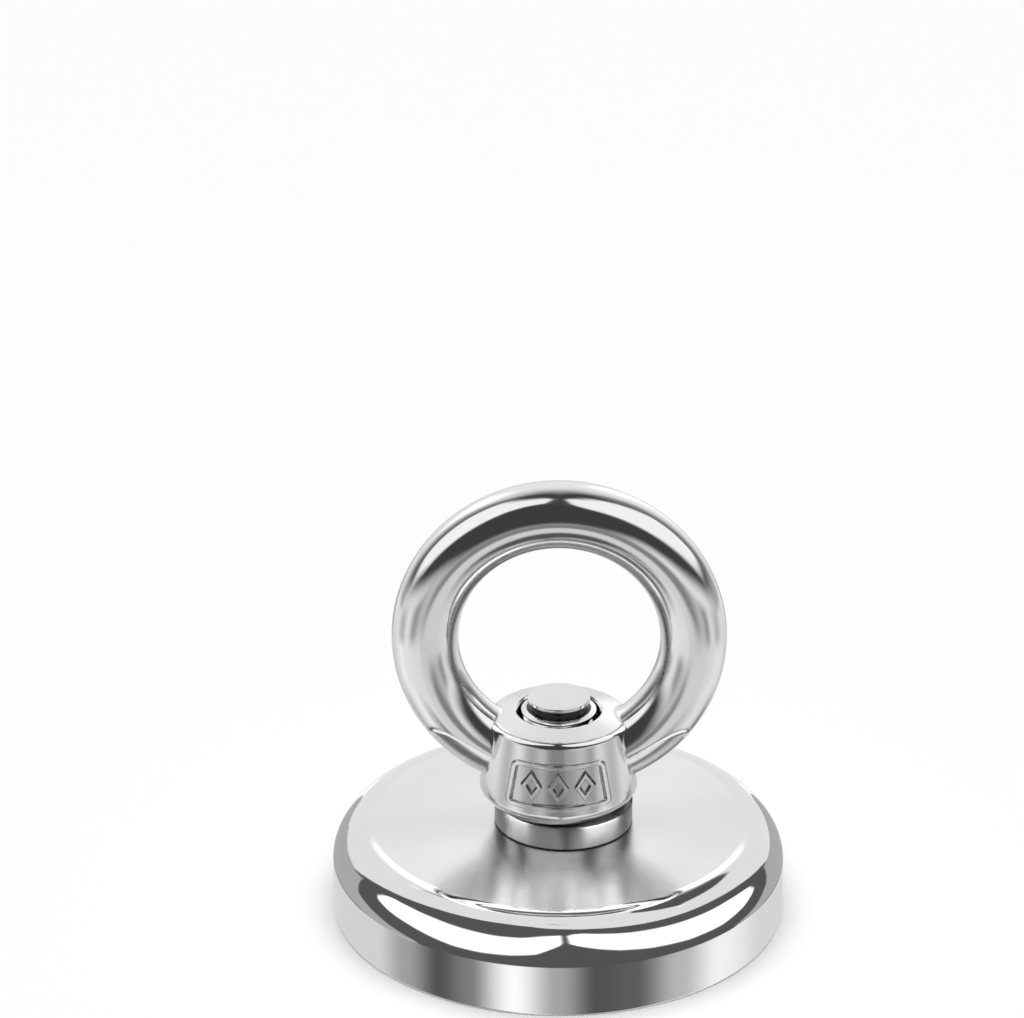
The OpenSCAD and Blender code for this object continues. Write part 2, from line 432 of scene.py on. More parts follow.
def bore_distance(r, z):
    """Distance to the space of the bore: a bevelled plain mouth above the thread, a chamfer at the foot."""
    flare = MOUTH_R - THREAD_R
    throat = flare - MOUTH_BEVEL
    top = np.clip(z - (COLLAR_TOP_Z - MOUTH_DEPTH - throat), 0, throat)
    top = top + np.clip(z - (COLLAR_TOP_Z - MOUTH_BEVEL), 0, MOUTH_BEVEL)
    foot = np.clip(flare - (z - FOOT_Z), 0, flare)
    return np.maximum(r - THREAD_R - np.maximum(top, foot), z - COLLAR_TOP_Z - 4)


def panel_field(x, z):
    """Signed distance to the panel's rounded edge, and how far along a lozenge's stroke a point is."""
    share = np.clip((z - PANEL_Z0) / (PANEL_Z1 - PANEL_Z0), 0, 1)
    half = PANEL_FOOT + (PANEL_TOP - PANEL_FOOT) * share
    mid, tall = (PANEL_Z0 + PANEL_Z1) / 2, (PANEL_Z1 - PANEL_Z0) / 2
    qx = np.abs(x) - half + PANEL_ROUND
    qz = np.abs(z - mid) - tall + PANEL_ROUND
    edge = np.hypot(np.maximum(qx, 0), np.maximum(qz, 0)) + np.minimum(np.maximum(qx, qz), 0) - PANEL_ROUND
    near = np.min([np.abs(x - x0) for x0 in LOZENGE_X], axis=0)
    return edge, near / LOZENGE_HALF[0] + np.abs(z - mid) / LOZENGE_HALF[1]


def panel_height(x, z):
    """Height of the raised work on the front of the collar: a rounded frame and three open lozenges."""
    edge, reach = panel_field(x, z)
    line = np.abs(edge + PANEL_LINE / 2) / (PANEL_LINE / 2 + 0.1)
    frame_line = np.clip((1 - line ** 2) * 1.3, 0, 1)
    stroke = np.clip((0.3 - np.abs(reach - 0.7)) / 0.16, 0, 1)
    stroke = stroke * stroke * (3 - 2 * stroke)
    floor = -PANEL_SINK * np.clip(-(edge + PANEL_LINE) / 0.2, 0, 1)
    border = RELIEF * frame_line + floor * (1 - frame_line)
    return np.maximum(border, floor + (RELIEF + PANEL_SINK) * stroke)


def eye_distance(p, relief=True):
    """Signed distance to the eye nut, in millimetres, negative inside."""
    x, y, z = p[:, 0], p[:, 1], p[:, 2]
    r = np.hypot(x, y)
    collar = collar_distance(r, z)
    if relief:
        front = np.clip((-y - 3) / 2, 0, 1)
        collar = collar - panel_height(x, z) * front
    bar = np.hypot(np.hypot(x, z - RING_Z) - RING_R, y) - RING_BAR_R
    whole = smooth_union(collar, bar, 0.3)
    return smooth_both(whole, -bore_distance(r, z), 0.08)


def gradient(field, p, step=2e-3):
    """Gradient of a field at points, by central differences."""
    out = np.empty_like(p)
    for k in range(3):
        shift = np.zeros(3)
        shift[k] = step
        out[:, k] = (field(p + shift) - field(p - shift)) / (2 * step)
    return out


def settle(field, p, rounds=4):
    """Moves points onto the zero surface of a field."""
    for _ in range(rounds):
        g = gradient(field, p)
        p = p - (field(p) / np.maximum((g * g).sum(1), 0.05))[:, None] * g
    return p


def surface_net(field, low, high, step):
    """Quad mesh of the zero surface of a field inside a box."""
    axes = [np.arange(a, b + step, step) for a, b in zip(low, high)]
    shape = tuple(len(a) for a in axes)
    grid = np.stack(np.meshgrid(*axes, indexing="ij"), -1).reshape(-1, 3)
    inside = field(grid).reshape(shape) < 0
    cells = tuple(n - 1 for n in shape)
    mixed = np.zeros(cells, np.int8)
    for i in (0, 1):
        for j in (0, 1):
            for k in (0, 1):
                mixed += inside[i:i + cells[0], j:j + cells[1], k:k + cells[2]]
    used = (mixed > 0) & (mixed < 8)
    index = np.full(cells, -1)
    index[used] = np.arange(used.sum())
    where = np.argwhere(used)
    points = np.array(low) + (where + 0.5) * step
    faces = []
    for axis in range(3):
        u, v = (axis + 1) % 3, (axis + 2) % 3
        a = np.moveaxis(inside, (axis, u, v), (0, 1, 2))
        idx = np.moveaxis(index, (axis, u, v), (0, 1, 2))
        change = a[:-1, 1:-1, 1:-1] != a[1:, 1:-1, 1:-1]
        s, m, n = np.nonzero(change)
        quad = np.stack([idx[s, m, n], idx[s, m + 1, n], idx[s, m + 1, n + 1], idx[s, m, n + 1]], 1)
        flip = a[:-1, 1:-1, 1:-1][s, m, n]
        quad[~flip] = quad[~flip][:, ::-1]
        faces.append(quad)
    return points, np.concatenate(faces)


def relax(field, points, faces, rounds):
    """Evens out a mesh on its surface: each point moves towards its neighbours' mean, then back on."""
    edges = np.concatenate([faces[:, [0, 1]], faces[:, [1, 2]], faces[:, [2, 3]], faces[:, [3, 0]]])
    for _ in range(rounds):
        total = np.zeros_like(points)
        count = np.zeros(len(points))
        for a, b in ((0, 1), (1, 0)):
            np.add.at(total, edges[:, a], points[edges[:, b]])
            np.add.at(count, edges[:, a], 1)
        points = settle(field, points * 0.4 + 0.6 * total / count[:, None], 1)
    return points


def thread_ridge():
    """The eye's own thread: one closed ridge wound up the bore, in step with the screw."""
    segments = 48
    z0, z1 = FOOT_Z + 0.8, COLLAR_TOP_Z - MOUTH_DEPTH - 0.8
    steps = int((z1 - z0) / PITCH * segments)
    outer, crest = THREAD_R + 0.3, THREAD_R - 0.8
    outline = [(outer, -0.60), (THREAD_R - 0.02, -0.60), (crest, -0.17), (crest, 0.17),
               (THREAD_R - 0.02, 0.60), (outer, 0.60)]
    points = []
    for k in range(steps + 1):
        turn = k / segments
        z = z0 + turn * PITCH
        angle = TAU * (z / PITCH - 0.5)
        grow = min(1.0, k / 10, (steps - k) / 10)
        for r, dz in outline:
            r = r if r > THREAD_R else THREAD_R + 0.1 + (r - THREAD_R - 0.1) * grow
            points.append((r * math.cos(angle), r * math.sin(angle), z + dz))
    count = len(outline)
    faces = [tuple(f) for f in ring_faces(steps + 1, count, closed_rows=False)]
    faces += [tuple(range(count))[::-1], tuple(range(steps * count, (steps + 1) * count))]
    return np.array(points), faces


def surface_normals(points):
    """Unit normals of the eye's surface at points on it."""
    normals = gradient(eye_distance, points)
    return normals / np.linalg.norm(normals, axis=1, keepdims=True)


def refine(obj, rounds, turn, shortest):
    """Splits the edges along which the eye's surface turns by more than an angle, then settles all."""
    bm = bmesh.new()
    bm.from_mesh(obj.data)
    for _ in range(rounds):
        points = settle(eye_distance, np.array([v.co for v in bm.verts]) / MM)
        for v, p in zip(bm.verts, points):
            v.co = p * MM
        normals = surface_normals(points)
        bm.verts.index_update()
        bm.edges.ensure_lookup_table()
        ends = np.array([(e.verts[0].index, e.verts[1].index) for e in bm.edges])
        bend = (normals[ends[:, 0]] * normals[ends[:, 1]]).sum(1)
        length = np.linalg.norm(points[ends[:, 0]] - points[ends[:, 1]], axis=1)
        split = np.flatnonzero((bend < math.cos(math.radians(turn))) & (length > shortest))
        bmesh.ops.subdivide_edges(bm, edges=[bm.edges[i] for i in split], cuts=1, use_grid_fill=True)
    bmesh.ops.triangulate(bm, faces=[f for f in bm.faces if len(f.verts) > 4])
    points = settle(eye_distance, np.array([v.co for v in bm.verts]) / MM, 6)
    for v, p in zip(bm.verts, points):
        v.co = p * MM
    bmesh.ops.recalc_face_normals(bm, faces=bm.faces)
    bm.to_mesh(obj.data)
    bm.free()
    return points


def on_cone(points):
    """Which points (mm) lie on the turned cone of the collar rather than on polished metal."""
    x, y, z = points.T
    bar = np.hypot(np.hypot(x, z - RING_Z) - RING_R, y) - RING_BAR_R
    outside = (bar > 0.05) & (np.hypot(x, y) > MOUTH_R + 1)
    return outside & (z > FOOT_Z + FOOT_RISE + 0.35) & (z < COLLAR_TOP_Z - CROWN_FALL - 0.45)


def make_eye(material, collar_material, thread_material):
    """Eye nut: collar and ring as one filleted skin, with raised work in front and a thread in its bore."""
    step = 0.36
    plain = lambda p: eye_distance(p, relief=False)
    points, faces = surface_net(plain, eye_lo - 3 * step, eye_hi + 3 * step, step)
    points = relax(plain, settle(plain, points), faces, 6)
    obj = mesh_object("eye", points, faces)
    split_panel(obj)
    points = refine(obj, 3, 12, 0.09)
    # Painted shade on the raised work and a painted dark reflection inside the ring, kept on the mesh
    painted_shade_mark = obj.data.attributes.new("painted_shade_mark", "FLOAT", "POINT")
    painted_shade_mark.data.foreach_set("value", panel_painted_shade(points) + hole_painted_reflection(points))
    obj.data.shade_smooth()
    obj.data.normals_split_custom_set_from_vertices([tuple(n) for n in surface_normals(points)])
    ridge_points, ridge_faces = thread_ridge()
    ridge = mesh_object("eye_thread", ridge_points, ridge_faces)
    tidy_mesh(ridge, sharp=30)
    eye = place(obj, "eye", "eye_nut", material)
    second_material(eye, collar_material, on_cone)
    return (eye, place(ridge, "eye", "eye_nut", thread_material))


def panel_painted_shade(points):
    """Painted shade: full on the steps of the raised work, faint on the panel's sunken floor."""
    x, z = points[:, 0], points[:, 2]
    step = 0.04
    slope = np.hypot(panel_height(x + step, z) - panel_height(x - step, z),
                     panel_height(x, z + step) - panel_height(x, z - step)) / (2 * step)
    edge, _ = panel_field(x, z)
    floor = np.clip(-(edge + PANEL_LINE) / 0.15, 0, 1) * (panel_height(x, z) < 0)
    return (np.clip((slope - 0.5) / 1.2, 0, 1) * 0.72 + floor * 0.2) * (points[:, 1] < -3)


def hole_painted_reflection(points):
    """Painted dark reflection: a dark, dull line round the inside of the ring on both faces, fading out low
    down.
    """
    x, _, z = points.T
    inward = (RING_R - np.hypot(x, z - RING_Z)) / RING_BAR_R
    line = np.clip(1 - np.abs(inward - 0.79) / 0.15, 0, 1)
    upper = np.clip(((z - RING_Z) / RING_R + 0.5) / 0.2, 0, 1)
    return 0.95 * line * line * (3 - 2 * line) * upper * (z > COLLAR_TOP_Z)


def split_panel(obj):
    """Finer faces where the raised work stands, before the work is raised."""
    bm = bmesh.new()
    bm.from_mesh(obj.data)
    edges = {e for f in bm.faces if in_panel(f.calc_center_median() / MM) for e in f.edges}
    bmesh.ops.subdivide_edges(bm, edges=list(edges), cuts=1, use_grid_fill=True)
    bm.to_mesh(obj.data)
    bm.free()


def in_panel(c):
    """Whether a point (mm) lies on or close to the panel in front of the collar."""
    return c[1] < -4 and abs(c[0]) < PANEL_FOOT + 0.8 and PANEL_Z0 - 0.8 < c[2] < PANEL_Z1 + 0.8


# ---- Materials ----

class Nodes:
    """A short way to write a node tree."""

    def __init__(self, tree):
        self.tree = tree

    def add(self, kind, **values):
        """A new node; each value is a property of it or the default of an input of that name."""
        node = self.tree.nodes.new(kind)
        for key, value in values.items():
            if hasattr(node, key):
                setattr(node, key, value)
            else:
                node.inputs[key.replace("_", " ")].default_value = value
        return node

    def link(self, a, b):
        """Connects output a to input b."""
        self.tree.links.new(a, b)

    def math(self, operation, a, b=None):
        """One arithmetic step on sockets or numbers."""
        node = self.tree.nodes.new("ShaderNodeMath")
        node.operation = operation
        for socket, value in zip(node.inputs, (a, b)):
            if value is None:
                continue
            if isinstance(value, (int, float)):
                socket.default_value = value
            else:
                self.link(value, socket)
        return node.outputs[0]

    def ramp(self, value, stops):
        """Value mapped smoothly through a ramp of (position, grey) stops."""
        node = self.tree.nodes.new("ShaderNodeValToRGB")
        ramp = node.color_ramp
        ramp.interpolation = "EASE"
        while len(ramp.elements) > 1:
            ramp.elements.remove(ramp.elements[0])
        for i, (position, grey) in enumerate(stops):
            element = ramp.elements[0] if i == 0 else ramp.elements.new(position)
            element.position = position
            element.color = (grey, grey, grey, 1)
        self.link(value, node.inputs[0])
        return node.outputs[0]

    def noise(self, at, scale, detail, roughness):
        """Noise texture at a position."""
        node = self.add("ShaderNodeTexNoise", Scale=scale, Detail=detail, Roughness=roughness)
        self.link(at, node.inputs["Vector"])
        return node.outputs["Fac"]

    def mix(self, share, first, second):
        """Colour between two, each a colour or an output, by a share from 0 to 1."""
        node = self.add("ShaderNodeMix", data_type="RGBA")
        self.link(share, node.inputs[0])
        for socket, value in ((node.inputs[6], first), (node.inputs[7], second)):
            if isinstance(value, tuple):
                socket.default_value = (*value, 1)
            else:
                self.link(value, socket)
        return node.outputs[2]

    def step(self, value, low, high):
        """0 below low, 1 above high, smooth between."""
        node = self.tree.nodes.new("ShaderNodeMapRange")
        node.interpolation_type = "SMOOTHSTEP"
        node.inputs["From Min"].default_value = low
        node.inputs["From Max"].default_value = high
        self.link(value, node.inputs["Value"])
        return node.outputs["Result"]


# Painted shade: near black in the bore, the thread roots and the washer's foot; dark grey for shade and a
# dark reflection on the eye
PAINTED_SHADE_COLOUR = (0.02, 0.02, 0.02)
PAINTED_MARK_COLOUR = (0.12, 0.12, 0.12)
PAINTED_SHADE_EDGE = 0.1


# Where a band of painted shade goes
def painted_shade_zone_share(n, place_at, reach, low, high):
    """1 within a radius of the Z axis and between two heights, 0 outside, in millimetres."""
    split = n.add("ShaderNodeSeparateXYZ")
    n.link(place_at, split.inputs[0])
    x, y, z = split.outputs
    radius = n.math("SQRT", n.math("ADD", n.math("MULTIPLY", x, x), n.math("MULTIPLY", y, y)))
    inside = n.step(n.math("SUBTRACT", reach * MM, radius), 0.0, PAINTED_SHADE_EDGE * MM)
    above = n.step(z, low * MM, (low + PAINTED_SHADE_EDGE) * MM)
    below = n.step(n.math("SUBTRACT", high * MM, z), 0.0, PAINTED_SHADE_EDGE * MM)
    return n.math("MULTIPLY", inside, n.math("MULTIPLY", above, below))


def metal(name, colour, tint, roughness, wear, turned=0.0, painted_shade_zone=None, painted_shade_mark=0.0):
    """Polished metal: slight cloudiness in colour and gloss, and fine marks that catch the light.

    A turned metal has marks running round Z: they draw reflections out across themselves. The painted
    shade zone (radius, low, high) paints the part within that radius and between those heights dark as
    shade.
    The painted shade mark, an attribute of the mesh, paints shade and a dark reflection on it and makes it
    duller by that much."""
    material = bpy.data.materials.new(name)
    material.use_nodes = True
    tree = material.node_tree
    n = Nodes(tree)
    shader = tree.nodes["Principled BSDF"]
    shader.inputs["Metallic"].default_value = 1.0
    place_at = n.add("ShaderNodeTexCoord").outputs["Object"]
    cloud = n.noise(place_at, 90.0, 3.0, 0.6)
    surface = n.mix(n.step(cloud, 0.35, 0.7), colour, tint)
    fine = n.noise(place_at, 700.0, 4.0, 0.65)
    gloss = n.math("ADD", n.math("MULTIPLY", n.step(fine, 0.45, 0.75), wear), roughness)
    if turned:
        shader.inputs["Anisotropic"].default_value = turned
        shader.inputs["Anisotropic Rotation"].default_value = 0.25
        around = n.add("ShaderNodeTangent", direction_type="RADIAL", axis="Z")
        n.link(around.outputs[0], shader.inputs["Tangent"])
    # Painted shade: the band within the given radius and heights is darkened
    if painted_shade_zone:
        surface = n.mix(n.math("MULTIPLY", painted_shade_zone_share(n, place_at, *painted_shade_zone), 0.98), surface, PAINTED_SHADE_COLOUR)
    # Painted shade and a painted dark reflection, read from the mesh's attribute
    if painted_shade_mark:
        mark = n.add("ShaderNodeAttribute", attribute_name="painted_shade_mark").outputs["Fac"]
        surface = n.mix(mark, surface, PAINTED_MARK_COLOUR)
        gloss = n.math("ADD", gloss, n.math("MULTIPLY", mark, painted_shade_mark))
    n.link(surface, shader.inputs["Base Color"])
    n.link(gloss, shader.inputs["Roughness"])
    bump = n.add("ShaderNodeBump", Strength=0.02 if turned else 0.05, Distance=0.00002)
    n.link(fine, bump.inputs["Height"])
    n.link(bump.outputs["Normal"], shader.inputs["Normal"])
    return material


def plain_stuff(name, colour, tint, roughness, scale):
    """Cast resin or adhesive: mottled colour with a faintly uneven surface."""
    material = bpy.data.materials.new(name)
    material.use_nodes = True
    tree = material.node_tree
    n = Nodes(tree)
    shader = tree.nodes["Principled BSDF"]
    place_at = n.add("ShaderNodeTexCoord").outputs["Object"]
    cloud = n.noise(place_at, scale, 4.0, 0.6)
    n.link(n.mix(n.step(cloud, 0.3, 0.7), colour, tint), shader.inputs["Base Color"])
    gloss = n.math("ADD", n.math("MULTIPLY", cloud, 0.2), roughness)
    n.link(gloss, shader.inputs["Roughness"])
    bump = n.add("ShaderNodeBump", Strength=0.3, Distance=0.00005)
    n.link(cloud, bump.inputs["Height"])
    n.link(bump.outputs["Normal"], shader.inputs["Normal"])
    return material


# ---- Studio ----

def make_world():
    """A dim room for reflections, and a plain pale backdrop for the camera."""
    world = bpy.data.worlds.new("studio")
    bpy.context.scene.world = world
    world.use_nodes = True
    tree = world.node_tree
    tree.nodes.clear()
    n = Nodes(tree)
    backdrop = n.add("ShaderNodeBackground", Strength=0.97)
    room = n.add("ShaderNodeBackground", Strength=DIM)
    for node in (backdrop, room):
        node.inputs["Color"].default_value = (1, 1, 1, 1)
    seen = n.add("ShaderNodeLightPath").outputs["Is Camera Ray"]
    choose = n.add("ShaderNodeMixShader")
    n.link(seen, choose.inputs[0])
    n.link(room.outputs[0], choose.inputs[1])
    n.link(backdrop.outputs[0], choose.inputs[2])
    out = n.add("ShaderNodeOutputWorld")
    n.link(choose.outputs[0], out.inputs["Surface"])


def glow(name, strength, soft_u, soft_v, level, seen):
    """Card material: emission with soft borders, its strength one number or stops along the card's width.

    Each softness is one share of the card for both borders, or a pair for the first and the last. The level
    multiplies the strength. With seen = (least, most), the card shows only after that many reflections."""
    material = bpy.data.materials.new(name)
    material.use_nodes = True
    tree = material.node_tree
    tree.nodes.clear()
    n = Nodes(tree)
    split = n.add("ShaderNodeSeparateXYZ")
    n.link(n.add("ShaderNodeTexCoord").outputs["UV"], split.inputs[0])
    u, v = split.outputs[0], split.outputs[1]
    fade = n.math("MULTIPLY", n.ramp(u, strength) if isinstance(strength, list) else strength, level)
    for value, soft in ((u, soft_u), (v, soft_v)):
        first, last = soft if isinstance(soft, tuple) else (soft, soft)
        if first > 0:
            fade = n.math("MULTIPLY", fade, n.step(value, 0.0, first))
        if last > 0:
            fade = n.math("MULTIPLY", fade, n.step(n.math("SUBTRACT", 1.0, value), 0.0, last))
    if seen:
        depth = n.add("ShaderNodeLightPath").outputs["Ray Depth"]
        enough = n.math("GREATER_THAN", depth, seen[0] - 0.5)
        few = n.math("LESS_THAN", depth, seen[1] + 0.5)
        fade = n.math("MULTIPLY", fade, n.math("MULTIPLY", enough, few))
    light = n.add("ShaderNodeEmission")
    n.link(fade, light.inputs["Strength"])
    both = n.add("ShaderNodeAddShader")
    n.link(light.outputs[0], both.inputs[0])
    n.link(n.add("ShaderNodeBsdfTransparent").outputs[0], both.inputs[1])
    out = n.add("ShaderNodeOutputMaterial")
    n.link(both.outputs[0], out.inputs["Surface"])
    material.cycles.emission_sampling = "NONE"
    return material


def card(name, outline, strength, group, soft_u=0.1, soft_v=0.15, level=1.0, seen=None):
    """Curved light card round the piece, lighting one group of pieces only.

    The outline is a list of (azimuth, lowest, highest elevation) in degrees, azimuth 0 towards the camera.
    The other values are glow's."""
    outline = np.array(outline, float)
    columns, rows = 65, 17
    u = np.linspace(0, 1, columns)
    azimuth = outline[0, 0] + (outline[-1, 0] - outline[0, 0]) * u
    low = np.interp(azimuth, outline[:, 0], outline[:, 1])
    high = np.interp(azimuth, outline[:, 0], outline[:, 2])
    v = np.linspace(0, 1, rows)[:, None]
    elevation = np.radians(low + (high - low) * v)
    azimuth = np.radians(azimuth)
    reach = CARD_R + CARD_STEP * sum(other.name.endswith("_card") for other in bpy.data.meshes)
    grid = reach * np.stack([np.sin(azimuth) * np.cos(elevation), -np.cos(azimuth) * np.cos(elevation),
                            np.sin(elevation)], -1)
    index = np.arange(rows * columns).reshape(rows, columns)
    faces = np.stack([index[:-1, :-1], index[:-1, 1:], index[1:, 1:], index[1:, :-1]], -1).reshape(-1, 4)
    mesh = bpy.data.meshes.new(name + "_card")
    mesh.from_pydata([tuple(p) for p in grid.reshape(-1, 3) * MM], [], [tuple(map(int, f)) for f in faces])
    layer = mesh.uv_layers.new(name="UVMap")
    corner = np.zeros(len(mesh.loops), int)
    mesh.loops.foreach_get("vertex_index", corner)
    uv = np.stack([u[corner % columns], v[corner // columns, 0]], 1)
    layer.data.foreach_set("uv", uv.ravel())
    mesh.materials.append(glow(name, strength, soft_u, soft_v, level, seen))
    obj = bpy.data.objects.new(name, mesh)
    bpy.context.scene.collection.objects.link(obj)
    obj.light_linking.receiver_collection = group
    obj.visible_camera = False
    obj.visible_shadow = False
    return obj


def light_group(name, pieces):
    """Collection of the pieces that a set of light cards reaches."""
    group = bpy.data.collections.new(name)
    for piece in pieces:
        group.objects.link(piece)
    return group


def light_base(group):
    """Cards seen in the pot: a pale room, two long softboxes in front and streaks for its upright side."""
    card("fill_base", [(-180, -90, 90), (180, -90, 90)], 0.05, group, 0, 0)
    card("room_front_base", [
        (-150, 3, 90), (-138, 5, 90), (-124, 10, 90), (-113, 31, 90), (-100, 56, 90), (-90, 65, 90),
        (-72, 75, 90), (-45, 79, 90), (10, 77, 90), (40, 72, 90), (60, 64, 90), (85, 51, 90),
        (105, 40, 90), (118, 28, 90)], 0.8, group, 0, 0.06)
    card("room_high_base", [
        (118, 56, 90), (130, 63, 90), (140, 65, 90), (150, 65, 90), (165, 57, 90), (180, 54, 90),
        (198, 53, 90), (210, 46, 90)], 0.8, group, 0, 0.04)
    card("room_back_base", [
        (118, 28, 60), (128, 15, 58), (133, 8, 54), (140, 6, 48), (150, 4, 42), (162, 0, 42),
        (168, -28, 45), (180, -28, 48), (194, -28, 50), (199, 0, 51), (210, 3, 50)], 0.8, group, 0, 0.06)
    card("back_window_base", [(158, 30, 50), (180, 29, 50), (202, 30, 50)], 0.6, group, 0.25, 0.2)
    card("room_grey_left_base", [
        (-168, -28, -1), (-150, -28, 7), (-138, -28, 9), (-124, -28, 14), (-117, -28, 20),
        (-112, -28, -4), (-90, -28, -15), (-72, -28, -24)], 0.37, group, 0.04, 0.12)
    card("room_grey_right_base", [
        (98, -28, -24), (112, -28, -17), (122, -28, -4), (128, -28, 14), (140, -28, 10), (150, -28, 8),
        (162, -28, 4), (168, -28, -4)], 0.37, group, 0.04, 0.12)
    card("softbox_left_base", [
        (-104, 20, 25), (-100, 13, 34), (-90, 8, 39), (-75, 4, 43), (-50, -6, 45), (-36, -6, 46),
        (-22, -2, 50), (-10, 6, 59), (0, 29, 61), (4, 40, 61)], 1.4, group, 0.03, 0.1)
    card("softbox_right_base", [
        (5, 38, 58), (12, 28, 64), (20, 18, 65), (30, 8, 60), (45, -1, 51), (65, -8, 42), (85, -9, 34),
        (100, -3, 28), (108, 3, 22), (114, 9, 16)], 1.4, group, 0.03, 0.1)
    card("bounced_base", [(-75, 0, 90), (75, 0, 90)], 1.05, group, 0.25, 0, seen=(3, 9))
    card("streaks_base", [(-180, -90, -26), (180, -90, -26)], [
        (0.0, 0.64), (0.21, 0.67), (0.27, 0.32), (0.328, 0.0), (0.375, 0.14), (0.44, 1.1), (0.5, 0.35),
        (0.555, 0.0), (0.61, 0.03), (0.68, 0.48), (0.75, 0.99), (0.86, 0.69), (1.0, 0.58)], group, 0, 0.02)


def light_eye(group):
    """Cards seen in the eye: softboxes left and right of a dark middle, and a pale room low and behind."""
    card("softbox_left_eye", [
        (-106, 14, 66), (-100, 5, 73), (-90, -4, 76), (-72, 5, 81), (-60, 20, 82), (-50, 33, 82),
        (-40, 47, 82), (-30, 55, 81), (-12, 62, 77)], 1.05, group, 0.05, 0.2)
    card("softbox_right_eye", [
        (8, 61, 77), (18, 46, 80), (30, 38, 82), (48, 27, 82), (68, 15, 82), (88, 2, 81), (102, 5, 66),
        (116, 12, 40)], 1.05, group, 0.05, 0.2)
    card("room_skirting_eye", [(-180, -45, -19), (180, -45, -19)], [
        (0.0, 0.72), (0.1, 0.62), (0.17, 0.75), (0.2, 0.88), (0.25, 1.0), (0.3, 0.88), (0.44, 0.82),
        (0.47, 0.72), (0.6, 0.7), (0.68, 0.76), (0.75, 0.86), (0.83, 0.82), (0.88, 0.6), (0.92, 0.7),
        (1.0, 0.72)], group, 0, (0.38, 0.23))
    card("room_low_eye", [(-180, -25, -6), (180, -25, -6)], [
        (0.0, 0.2), (0.08, 0.3), (0.14, 0.7), (0.2, 0.85), (0.267, 0.5), (0.322, 0.86), (0.383, 0.32),
        (0.433, 0.55), (0.478, 0.2), (0.54, 0.2), (0.6, 0.5), (0.64, 0.3), (0.683, 0.78), (0.744, 0.5),
        (0.81, 0.8), (0.88, 0.7), (0.944, 0.3), (1.0, 0.2)], group, 0, 0.315)
    card("room_mid_eye", [
        (-180, -12, 8), (-35, -12, 8), (-15, -12, 0), (5, -12, 0), (20, -12, 11), (60, -12, 11),
        (80, -12, 8), (180, -12, 8)], [
        (0.0, 0.35), (0.2, 0.4), (0.24, 0.75), (0.33, 0.8), (0.37, 0.7), (0.42, 0.5), (0.46, 0.2),
        (0.515, 0.2), (0.54, 0.7), (0.56, 0.85), (0.68, 0.85), (0.74, 0.6), (0.8, 0.4), (1.0, 0.35)],
        group, 0, (0.3, 0.7))
    card("room_under_eye", [(-180, -90, -35), (180, -90, -35)], [
        (0.0, 0.3), (0.04, 1.0), (0.08, 0.7), (0.13, 0.5), (0.18, 0.55), (0.25, 0.85), (0.31, 1.0),
        (0.36, 0.68), (0.39, 0.45), (0.42, 0.15), (0.445, 0.4), (0.47, 0.05), (0.54, 0.05), (0.58, 0.42),
        (0.62, 0.67), (0.7, 0.86), (0.77, 0.82), (0.83, 0.5), (0.87, 0.18), (0.92, 0.25), (1.0, 0.25)],
        group, 0, (0, 0.18))
    card("room_back_eye", [
        (120, -30, 80), (150, -30, 90), (180, -30, 98), (215, -30, 90), (250, -30, 80)],
        0.78, group, 0.2, 0.4)
    card("room_sides_eye", [(100, -8, 76), (180, -8, 76), (262, -8, 76)], 0.14, group, 0.1, 0.2)
    card("window_left_eye", [(198, 12, 52), (234, 12, 52)], 0.35, group, 0.3, 0.3)
    card("window_right_eye", [(148, -12, 46), (174, -12, 46)], 0.35, group, 0.3, 0.3)
    card("bounced_eye", [
        (-110, 22, 90), (-60, 33, 90), (60, 33, 90), (110, 22, 90)],
        1.3, group, 0.1, (0.06, 0), seen=(2, 9))


def light_washer(group):
    """Cards seen in the split washer: an upright pale band on either side of a dark middle."""
    card("band_left_washer", [(-108, -20, 70), (-56, -20, 70)], 8.0, group, 0.1, 0.2, seen=(1, 1))
    card("band_right_washer", [(30, -20, 70), (100, -20, 70)], 8.0, group, 0.08, 0.2, seen=(1, 1))
    card("bounced_washer", [(-110, -20, 90), (110, -20, 90)], [
        (0.0, 0.3), (0.045, 0.8), (0.1, 0.9), (0.14, 0.0), (0.19, 0.0), (0.235, 0.75), (0.5, 0.8),
        (0.63, 0.7), (0.675, 0.0), (0.75, 0.0), (0.79, 0.8), (0.85, 0.9), (0.93, 0.5), (1.0, 0.3)],
        group, 0, 0, level=2.4, seen=(2, 9))


def make_floor():
    """Plain pale floor lit from above by its own lamp; from underneath it is not there."""
    half = 3.0
    mesh = bpy.data.meshes.new("floor")
    corners = [(-half, -half, 0), (half, -half, 0), (half, half, 0), (-half, half, 0)]
    mesh.from_pydata(corners, [], [(0, 1, 2, 3)])
    floor = bpy.data.objects.new("floor", mesh)
    bpy.context.scene.collection.objects.link(floor)
    material = bpy.data.materials.new("pale_floor")
    material.use_nodes = True
    tree = material.node_tree
    n = Nodes(tree)
    shader = tree.nodes["Principled BSDF"]
    shader.inputs["Base Color"].default_value = (0.9, 0.9, 0.9, 1)
    shader.inputs["Roughness"].default_value = 0.9
    choose = n.add("ShaderNodeMixShader")
    n.link(n.add("ShaderNodeNewGeometry").outputs["Backfacing"], choose.inputs[0])
    n.link(shader.outputs[0], choose.inputs[1])
    n.link(n.add("ShaderNodeBsdfTransparent").outputs[0], choose.inputs[2])
    n.link(choose.outputs[0], tree.nodes["Material Output"].inputs["Surface"])
    mesh.materials.append(material)
    floor.visible_glossy = False
    lamp = bpy.data.lights.new("overhead", "SUN")
    lamp.energy = 3.3
    lamp.angle = math.radians(70)
    overhead = bpy.data.objects.new("overhead", lamp)
    bpy.context.scene.collection.objects.link(overhead)
    overhead.light_linking.receiver_collection = light_group("floor_light", [floor])
    return floor


